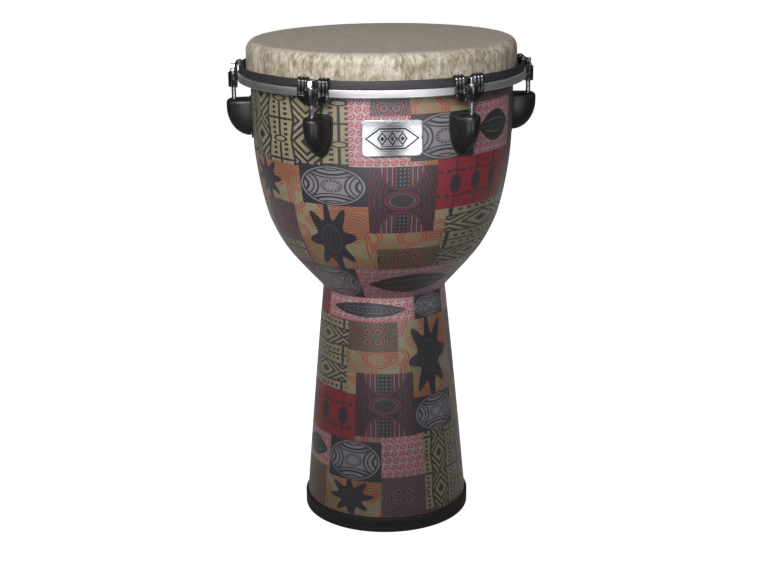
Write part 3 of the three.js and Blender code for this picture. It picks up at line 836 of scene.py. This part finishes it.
def stem(materials):
    above_foot = stem_outside[:, 1] > foot_high[2]
    chain = smooth_chain(stem_outside[(stem_outside[:, 0] > SPIGOT_R + 2) & above_foot], 8)
    outside = printed_rows(chain, STEM_PATCHES)
    seat_r = foot_r - 4.3
    low, high = outside[0][1], outside[-1][1]
    spigot_top = box_mm("shell_stem")[1][2]
    outline = [
        (seat_r - WALL, 6.6), (seat_r, 6.6), (seat_r, low),
        *outside,
        (SPIGOT_R, high), (SPIGOT_R, spigot_top - 0.8), (SPIGOT_R - 0.8, spigot_top),
        (SPIGOT_R - 5.2, spigot_top), (SPIGOT_R - 6, spigot_top - 0.8), (SPIGOT_R - 6, high - 26),
        *[(r - WALL, z) for r, z in outside[::-6] if 24 < z < high - 40],
        (seat_r - WALL, 20),
    ]
    printed_shell("stem", outline, chain, STEM_PATCHES, materials)


# ---- Foot, hoops and drumhead ----


def foot():
    seat_r = foot_r - 4
    lip_r = seat_r - 0.6 - WALL
    outline = [
        (lip_r - 2.6, 0.8), (lip_r - 1.8, 0),
        *arc(foot_r - 2.6, 2.6, 2.6, -90, 0, 5),
        (foot_r, 7), (foot_r - 0.35, 8), (foot_r, 9),
        *arc(foot_r - 1.6, foot_high[2] - 1.6, 1.6, 0, 90, 5),
        (seat_r + 0.4, foot_high[2]), (seat_r, foot_high[2] - 0.4), (seat_r, 6.3),
        (lip_r, 6.3), (lip_r, 17.2), (lip_r - 0.8, 18), (lip_r - 2.6, 18),
    ]
    rubber = satin_black("foot_rubber", colour(38, 36, 36), 0.62, size=0.9, depth=0.14)
    piece("foot", turned(outline), rubber, "shell", "foot_ring")


def channel_hoop():
    low, high = hoop_low[2], hoop_high[2]
    slot_out, slot_in = film_r + 0.5, film_r - FILM_THICKNESS - 0.5
    outline = [
        (HOOP_INNER_R + 0.5, low), (hoop_r - 1.4, low),
        *arc(hoop_r - 1.3, low + 1.3, 1.3, -80, 0, 5),
        *arc(hoop_r - 1, high - 1, 1, 0, 80, 5),
        (slot_out + 0.3, high), (slot_out, high - 0.3), (slot_out, low + 1.6),
        (slot_in, low + 1.6), (slot_in, high - 0.3), (slot_in - 0.3, high),
        (HOOP_INNER_R + 0.3, high), (HOOP_INNER_R, high - 0.3), (HOOP_INNER_R, low + 0.5),
    ]
    look = brushed_metal("hoop_aluminium", colour(212, 213, 217), 0.34, groove=9)
    look.set("Anisotropic", 0.7)
    look.set("Tangent", look.node("ShaderNodeTangent", direction_type="RADIAL", axis="Z").outputs[0])
    piece("channel_hoop", turned(outline), look.material, "rim", "drumhead_hoop")


def counter_hoop():
    low, high = rim_low[2], rim_high[2]
    inner_r = rim_r - 2.2
    outline = [
        (FLANGE_R, low + 0.5), (FLANGE_R + 0.5, low), (rim_r - 0.8, low),
        *arc(rim_r - 0.7, low + 0.7, 0.7, -80, 0, 3),
        *arc(rim_r - 1, high - 1, 1, 0, 90, 5),
        *arc(inner_r + 1, high - 1, 1, 90, 180, 5),
        (inner_r, low + 2.8), (inner_r - 0.5, low + 2.3),
        (FLANGE_R + 0.5, low + 2.3), (FLANGE_R, low + 1.8),
    ]
    coat = satin_black("rim_steel", colour(46, 43, 44), 0.46, size=0.6, depth=0.06)
    piece("counter_hoop", turned(outline), coat, "rim", "counterhoop")


def drumhead():
    """The film: a flat top, a rounded crown and a collar with creases that run down into the hoop."""
    thin = FILM_THICKNESS
    centre_r, centre_z = film_r - CROWN_WIDTH, drum_top - CROWN_DROP
    down = np.linspace(film_low[2], centre_z, 18)
    outer = [(film_r, z) for z in down[:-1]]
    outer += arc(centre_r, centre_z, CROWN_WIDTH, 0, 90, 14, height=CROWN_DROP)
    outer += [(centre_r - gap, drum_top) for gap in (6, 16, 30, 50, 75, 100, 125, 148, 160)]
    lower = [(radius, z - thin) for radius, z in outer[::-1] if z > drum_top - 0.01]
    lower += arc(centre_r, centre_z, CROWN_WIDTH - thin, 80, 0, 8, height=CROWN_DROP - thin)
    lower += [(film_r - thin, z) for z in down[-2::-2]] + [(film_r - thin, film_low[2])]
    points, faces = turned(outer + [(0, drum_top), (0, drum_top - thin)] + lower, 720)
    azimuth = np.arctan2(points[:, 0], -points[:, 1])
    radius = np.hypot(points[:, 0], points[:, 1])
    height = points[:, 2]
    rng = np.random.default_rng(11)
    relief = np.zeros(len(points))
    for where in np.sort(rng.uniform(0, 2 * math.pi, 56)):
        gap = (azimuth - where + math.pi) % (2 * math.pi) - math.pi
        depth = rng.uniform(0.2, 0.7) * rng.choice([-1, 1])
        width = rng.uniform(1.3, 3.2)
        sway = rng.uniform(-0.08, 0.08) * (height - centre_z)
        relief += depth * np.exp(-(((gap * film_r - sway) / width) ** 2))
    for waves in range(5, 24, 3):
        relief += rng.uniform(0.03, 0.1) * np.sin(waves * azimuth + rng.uniform(0, 6.3))
    fade = np.clip((height - rim_high[2] + 8) / 10, 0, 1) * np.clip((drum_top - height) / 9, 0, 1)
    points[:, :2] *= (1 + relief * fade / np.maximum(radius, 1))[:, None]
    shown = piece("drumhead", (points, faces), drumhead_material(), None, "drumhead_film")
    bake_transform(shown)


# ---- Badge and gaskets: plates that follow the bowl ----


def bowl_radius(z):
    return np.interp(z, bowl_outside[:, 1], bowl_outside[:, 0])


def curved_plate(outline, thickness, rounding, lift=0.3):
    """A plate over the bowl from an outline of (across, height), lying lift above the shell."""
    centre = (outline.min(0) + outline.max(0)) / 2
    half = (outline.max(0) - outline.min(0)) / 2

    def ring(inset, above):
        across, z = (centre + (outline - centre) * (1 - inset / half)).T
        depth = bowl_radius(z) + lift + above
        return np.stack([np.sqrt(depth**2 - across**2), across, z], 1)

    step = rounding * (1 - math.sqrt(0.5))
    insets = np.linspace(0.12, 0.98, 7) * half.min()
    rings = [ring(inset, 0) for inset in insets[::-1]]
    rings += [ring(0, 0), ring(0, thickness - rounding), ring(step, thickness - step)]
    rings += [ring(rounding, thickness)]
    rings += [ring(inset, thickness) for inset in insets]
    return lofted(rings)


def badge():
    corner = 6
    half_width, _, half_height = (badge_high - badge_low) / 2
    points = []
    for quarter, (side, rise) in enumerate([(1, -1), (1, 1), (-1, 1), (-1, -1)]):
        y, z = side * (half_width - corner), badge_centre_z + rise * (half_height - corner)
        points += arc(y, z, corner, quarter * 90 - 90, quarter * 90, 6)
    points, faces = curved_plate(spread(points, 120), 1.2, 0.3)
    look = brushed_metal("badge_aluminium", colour(206, 208, 212), 0.24, ink=badge_ornament)
    look.set("Anisotropic", 0.4)
    shape = turned_by(points, -math.pi / 2), faces
    piece("badge", shape, look.material, "shell", "badge_plate")


def gasket_shape():
    half_width, corner = gasket_high[1], 6
    top, bottom = gasket_high[2], gasket_low[2]
    widest = casing_high[2] - WIDEST_DROP
    points = arc(0, widest, half_width, 180, 360, 40, height=widest - bottom)
    points += arc(half_width - corner, top - corner, corner, 0, 90, 8)
    points += arc(corner - half_width, top - corner, corner, 90, 180, 8)
    return curved_plate(spread(points, 110), 2, 0.5)


# ---- Lug stations ----


def casing_shape():
    """The teardrop casing: half an ellipse below its widest line, a rounded flat top above."""
    depth = casing_high[0] - CASING_BASE_R
    half_width, bottom, top = casing_high[1], casing_low[2], casing_high[2]
    widest, rounding, squareness = top - WIDEST_DROP, 6.2, 2.3

    def ring(scale, inset, z):
        reach_out, reach_side = depth * scale - inset, half_width * scale - inset
        angles = np.radians(np.linspace(-90, 90, 37))
        out = np.abs(np.cos(angles)) ** (2 / squareness) * reach_out + CASING_BASE_R
        side = np.sign(angles) * np.abs(np.sin(angles)) ** (2 / squareness) * reach_side
        behind = bowl_radius(z) + 2.6
        across = np.linspace(reach_side, -reach_side, 13)
        front = np.maximum(out, np.sqrt(behind**2 - side**2) + 0.02)
        return level(np.r_[front, np.sqrt(behind**2 - across**2)[1:-1]], np.r_[side, across[1:-1]], z)

    rings = []
    for angle in np.radians(np.linspace(9, 90, 26)):
        rings.append(ring(math.sin(angle), 0, widest - (widest - bottom + 0.4) * math.cos(angle)))
    rings.append(ring(1, 0, (widest + top - rounding) / 2))
    for angle in np.radians(np.linspace(0, 90, 9)):
        rings.append(ring(1, rounding * (1 - math.cos(angle)), top - rounding * (1 - math.sin(angle))))
    rings += [ring(1, rounding + inset, top) for inset in (1.5, 4, 7)]
    bore = plug((3.6, 550), (3.6, top + 5))
    lead_in = plug((3.5, top - 0.9), (4.6, top + 0.2))
    nut_pocket = plug((6, 567.6), (6, 580.4))
    return cut(lofted(rings), bore, lead_in, nut_pocket)


def square_ring(half, corner, z):
    """32 points round a square with cut corners."""
    flat = np.linspace(-(half - corner), half - corner, 8)
    full = np.full(8, half)
    return level(np.r_[flat, full, flat[::-1], -full], np.r_[-full, flat, full, flat[::-1]], z)


def rod_shape():
    """Tension rod: threaded end, plain shaft, collar and square key head, in one skin."""
    tip, top = rod_low[2], rod_high[2]
    thread_top, collar, key, half = 583, 619.0, 620.7, 3.175
    spokes = square_ring(1, 0.1, 0)[:, :2]
    spokes /= np.linalg.norm(spokes, axis=1)[:, None]
    angles = np.arctan2(spokes[:, 1], spokes[:, 0])

    def discs(*outline):
        return [level(spokes[:, 0] * radius, spokes[:, 1] * radius, z) for radius, z in outline]

    rings = discs((0.6, tip), (1.9, tip))
    for z in np.arange(tip + 0.4, thread_top, 1 / 6):
        phase = (z - angles / (2 * math.pi)) % 1
        cut_in = 0.5 * (1 - np.abs(2 * phase - 1) * 1.25).clip(0, 1)
        limit = min(1, (z - tip) / 1.6, (thread_top - z) / 1.2)
        outer = ROD_R - max(0, 1 - (z - tip) / 1.4) * 0.7
        rings += discs((outer - cut_in * limit, z))
    rings += discs((ROD_R, thread_top + 0.3), (ROD_R, collar - 0.4), (ROD_R, collar), (4.3, collar))
    rings += discs((4.6, collar + 0.3), (4.6, key - 0.5), (4.4, key - 0.15), (4, key))
    rings += [square_ring(half + 0.1, 0.9, key), square_ring(half, 0.45, key + 0.4)]
    rings += [square_ring(half, 0.45, top - 1.1), square_ring(half - 0.35, 0.5, top - 0.35)]
    rings += [square_ring(half - 0.9, 0.6, top), square_ring(0.8, 0.2, top)]
    return on_rod_axis(lofted(rings))


def small_ring(inner, outer, low, high, bevel):
    """A washer or nut on the rod, with bevelled edges."""
    outline = [(inner, low + bevel), (inner + bevel, low), (outer - bevel, low), (outer, low + bevel)]
    outline += [(outer, high - bevel), (outer - bevel, high), (inner + bevel, high), (inner, high - bevel)]
    return on_rod_axis(turned(outline, 36))


def screw_shape(node):
    """A lug screw from inside the shell: socket head and threaded shank; its axis runs outwards."""
    z = np.mean([corner[2] for corner in box_mm(node)])
    start, end = bowl_radius(z) - WALL - 0.6, 187
    head = ((1, -1.4), (1.9, -1.4), (1.9, -3), (3.3, -3), (4.1, -2.3), (4.5, -1), (4.5, 0), (2, 0))
    rings = circles(head, 36)
    for along in np.arange(0.3, end - start - 0.6, 0.2):
        phase = (along / 1.2 - np.arange(36) / 36) % 1
        radius = 2 - 0.35 * (1 - np.abs(2 * phase - 1) * 1.3).clip(0, 1)
        rings += circles([(radius, along)], 36)
    rings += circles([(1.2, end - start), (0.3, end - start)], 36)
    points, faces = lofted(rings)
    return np.stack([points[:, 2] + start, points[:, 1], z - points[:, 0]], 1), faces


def swept(path, section, scales=None):
    """A closed section of (across, out) swept along a path of (radius, height) in the station's plane."""
    path = np.asarray(path, float)
    rings = []
    for i, (radius, z) in enumerate(path):
        ahead = path[min(i + 1, len(path) - 1)] - path[max(i - 1, 0)]
        ahead /= np.linalg.norm(ahead)
        scale = 1 if scales is None else scales[i]
        out, up = ahead[1] * scale, -ahead[0] * scale
        rings.append(np.array([(radius + out * o, across, z + up * o) for across, o in section]))
    return lofted(rings)


def hook_path(out):
    """A prong's line, moved out from its inner face: up the front, over the rim and down the lip."""
    back, lip = hoop_r + CLAW_GAP, claw_low[0] + 2
    low, spring, inner_top = 609.5, 625, rim_high[2] + 0.35
    points = [(back + out, z) for z in np.linspace(low, spring, 10)]
    middle, half = (back + lip) / 2, (back - lip) / 2
    points += arc(middle, spring, half + out, 8, 172, 18, height=inner_top - spring + out)
    return points + [(lip - out, z) for z in np.linspace(spring - 0.6, 622.5, 3)]


def prong(middle):
    """A strap over the rim with three ribs that fade in at the bottom."""
    strap = ((-7.5, -0.9), (7.5, -0.9), (7.5, 0.7), (7, 1), (-7, 1), (-7.5, 0.7))
    parts = [swept(hook_path(0.9), [(middle + y, o) for y, o in strap])]
    path = hook_path(1.75)
    taper = np.r_[np.linspace(0.25, 1, 4), np.ones(len(path) - 5), 0.6]
    for offset in (-5, 0, 5):
        parts.append(swept(path, arc(middle + offset, 0, 1.75, 0, 345, 15, height=1.35), taper))
    return parts


def claw_block(outline, low, high):
    """An upright block of the claw, drawn in a little at its ends."""
    outline = np.array(outline)
    middle = outline.mean(0)
    levels = ((0.9, low), (1, low + 0.7), (1, high - 0.6), (0.93, high))
    return lofted([level(*(middle + (outline - middle) * share).T, z) for share, z in levels])


def claw_web(back, side, front, nose):
    """Outline of a block that reaches out to front, with rounded front corners."""
    sides = [(back, -side), *arc(front - nose, -side + nose, nose, -90, 0, 4)]
    return sides + [*arc(front - nose, side - nose, nose, 0, 90, 4), (back, side)]


def claw_shape():
    """Hook claw: two ribbed prongs, a shield plate, a round-nosed boss and its stepped webs."""
    back, bottom, front = hoop_r + CLAW_GAP, claw_low[2], claw_high[0]
    half_width, shoulder, step, top = claw_high[1], 610.5, 608.2, 617.8
    parts = prong(-14.2) + prong(14.2)
    edge = []
    for angle in np.radians(np.linspace(8, 90, 12)):
        y = 9 + (half_width - 9.1) * math.sin(angle)
        edge.append((y, shoulder - (shoulder - bottom - 0.2) * math.cos(angle)))
    plate = [(-9, bottom + 0.2), (9, bottom + 0.2)] + edge + [(-y, z) for y, z in edge[::-1]]
    plate = spread(plate, 90)
    centre = np.array([0, 606.8])
    rings = []
    for inset, out in ((0.9, 0), (0, 0), (0, 1.9), (0.05, 2.5), (0.14, 2.9), (0.5, 3.2), (0.9, 3.3)):
        flat = centre + (plate - centre) * (1 - inset)
        rings.append(np.stack([np.full(90, back + out), flat[:, 0], flat[:, 1]], 1))
    parts.append(lofted(rings))
    back, nose = back + 0.2, 4.4
    boss = [(back, -nose), *arc(front - nose, 0, nose, -90, 90, 12), (back, nose)]
    parts.append(claw_block(boss, bottom, top))
    parts.append(claw_block(claw_web(back, 7.3, 197.4, 1.5), bottom, step))
    parts.append(claw_block(claw_web(back, 8.8, 199.2, 1.6), step - 0.8, top))
    fuse = ("REMESH", {"mode": "VOXEL", "voxel_size": 0.00042})
    soften = ("SMOOTH", {"factor": 0.5, "iterations": 3})
    fused = with_modifiers(joined(*parts), [fuse, soften, ("DECIMATE", {"ratio": 0.35})])
    return cut(fused, plug((3.3, bottom - 4), (3.3, 622)))


def lug_stations():
    enamel = claw_enamel()
    moulding = satin_black("lug_black", colour(24, 23, 23), 0.34, size=0.8, depth=0.05)
    seal = satin_black("gasket_black", colour(24, 23, 23), 0.6)
    silver = colour(206, 206, 212)
    bright = glossy("rod_chrome", silver, 7, 0, (0.93, 1.04), (0.1, 0.2), Metallic=1).material
    zinc = brushed_metal("screw_zinc", colour(170, 172, 176), 0.34).material
    brass = brushed_metal("nut_brass", colour(190, 160, 96), 0.32).material
    kinds = [
        ("hook_claw", claw_shape(), enamel, "rim", 60),
        ("tension_rod", rod_shape(), bright, "rod", 40),
        ("rod_washer", small_ring(3.2, 5, 617.9, 618.9, 0.2), bright, "rod", 40),
        ("lug_nut", small_ring(3.2, 5.6, 568, 580, 0.5), brass, "shell", 40),
        ("lug_casing", casing_shape(), moulding, "shell", 50),
        ("lug_gasket", gasket_shape(), seal, "shell", 40),
        ("lug_screw_lower", screw_shape("lug_screw_lower_2"), zinc, "shell", 50),
        ("lug_screw_upper", screw_shape("lug_screw_upper_2"), zinc, "shell", 50),
    ]
    for kind, (points, faces), material, body, sharp in kinds:
        for number in range(1, 7):
            node = f"{kind}_{number}"
            name = node.split("_", 1)[1]
            shape = turned_by(points, station_angle(number)), faces
            piece(name, shape, material, f"rod_{number}" if body == "rod" else body, node, sharp)


# ---- Studio ----


def floor():
    bpy.ops.mesh.primitive_circle_add(vertices=96, radius=16, fill_type="NGON", location=(0, 0, -0.0002))
    ground = bpy.context.object
    ground.name = "floor"
    look = Finish("floor_pale", Roughness=0.9)
    ground.data.materials.append(look.material)
    look.set("Base Color", look.shaded((0.6, 0.6, 0.6, 1), look.noise(900, detail=2), 0.99, 1))
    seen = Value(look.node("ShaderNodeLightPath").outputs["Is Camera Ray"])
    look.set("Emission Color", (1, 1, 1, 1))
    look.set("Emission Strength", seen * 0.97)


def panel(name, place, target_z, width, height, power):
    """A soft box that faces the drum's axis at a height."""
    light = bpy.data.lights.new(name, "AREA")
    light.shape = "RECTANGLE"
    light.size = width
    light.size_y = height
    light.energy = power
    holder = bpy.data.objects.new(name, light)
    holder.location = place
    holder.rotation_mode = "QUATERNION"
    holder.rotation_quaternion = (Vector((0, 0, target_z)) - Vector(place)).to_track_quat("-Z", "Y")
    bpy.context.scene.collection.objects.link(holder)
    return holder


def studio():
    floor()
    key = panel("key", (-0.28, -1.1, 1.16), 0.8, 1.1, 0.5, 4.6)
    key.data.spread = math.radians(70)
    panel("left", (-1.7, -0.9, 1.1), 0.6, 0.4, 0.8, 5)
    panel("right", (2, -0.6, 1.2), 0.6, 0.4, 0.8, 2)
    panel("top", (0, 0.3, 2.2), 0.5, 1.2, 1.2, 5)
    for name, x in (("back_left", -1.2), ("back_right", 1.2)):
        panel(name, (x, 1.4, 0.5), 0.4, 0.6, 0.7, 4).visible_glossy = False
    glints = (
        ("glint_left", -0.27, 0.31, 0.36, 0.18, 0.8),
        ("glint_right", 0.375, 0.31, 0.35, 0.18, 0.8),
        ("glint_hoop", 0, 0.56, 1.3, 0.08, 1.2),
    )
    for name, x, z, width, height, power in glints:
        glint = panel(name, (x, -0.9, z), 0.6, width, height, power)
        glint.visible_diffuse = False
        glint.visible_camera = False
    world = bpy.data.worlds.new("studio")
    bpy.context.scene.world = world
    world.use_nodes = True
    background = world.node_tree.nodes["Background"]
    seen = Value(world.node_tree.nodes.new("ShaderNodeLightPath").outputs["Is Camera Ray"])
    connect((1, 1, 1, 1), background.inputs["Color"])
    connect(seen * 0.94 + 0.06, background.inputs["Strength"])
    bpy.context.scene.view_settings.view_transform = "Standard"


def camera():
    """The product view: 16 degrees down, from 4 degrees to the left of the badge."""
    distance, height = 1.96, 0.8873
    round_by, pitch, yaw, roll = (math.radians(a) for a in (4, 16.006, -0.125, -0.688))
    lens = bpy.data.cameras.new("view")
    lens.lens = 69.8
    lens.sensor_width = 36
    holder = bpy.data.objects.new("view", lens)
    stand = Matrix.Rotation(-round_by, 4, "Z") @ Matrix.Translation((0, -distance, height))
    aim = Matrix.Rotation(-yaw, 4, "Z") @ Matrix.Rotation(math.pi / 2 - pitch, 4, "X")
    holder.matrix_world = stand @ aim @ Matrix.Rotation(roll, 4, "Z")
    bpy.context.scene.collection.objects.link(holder)
    bpy.context.scene.camera = holder


prints = shell_materials()
bowl(prints)
stem(prints)
foot()
channel_hoop()
counter_hoop()
drumhead()
badge()
lug_stations()
studio()
camera()
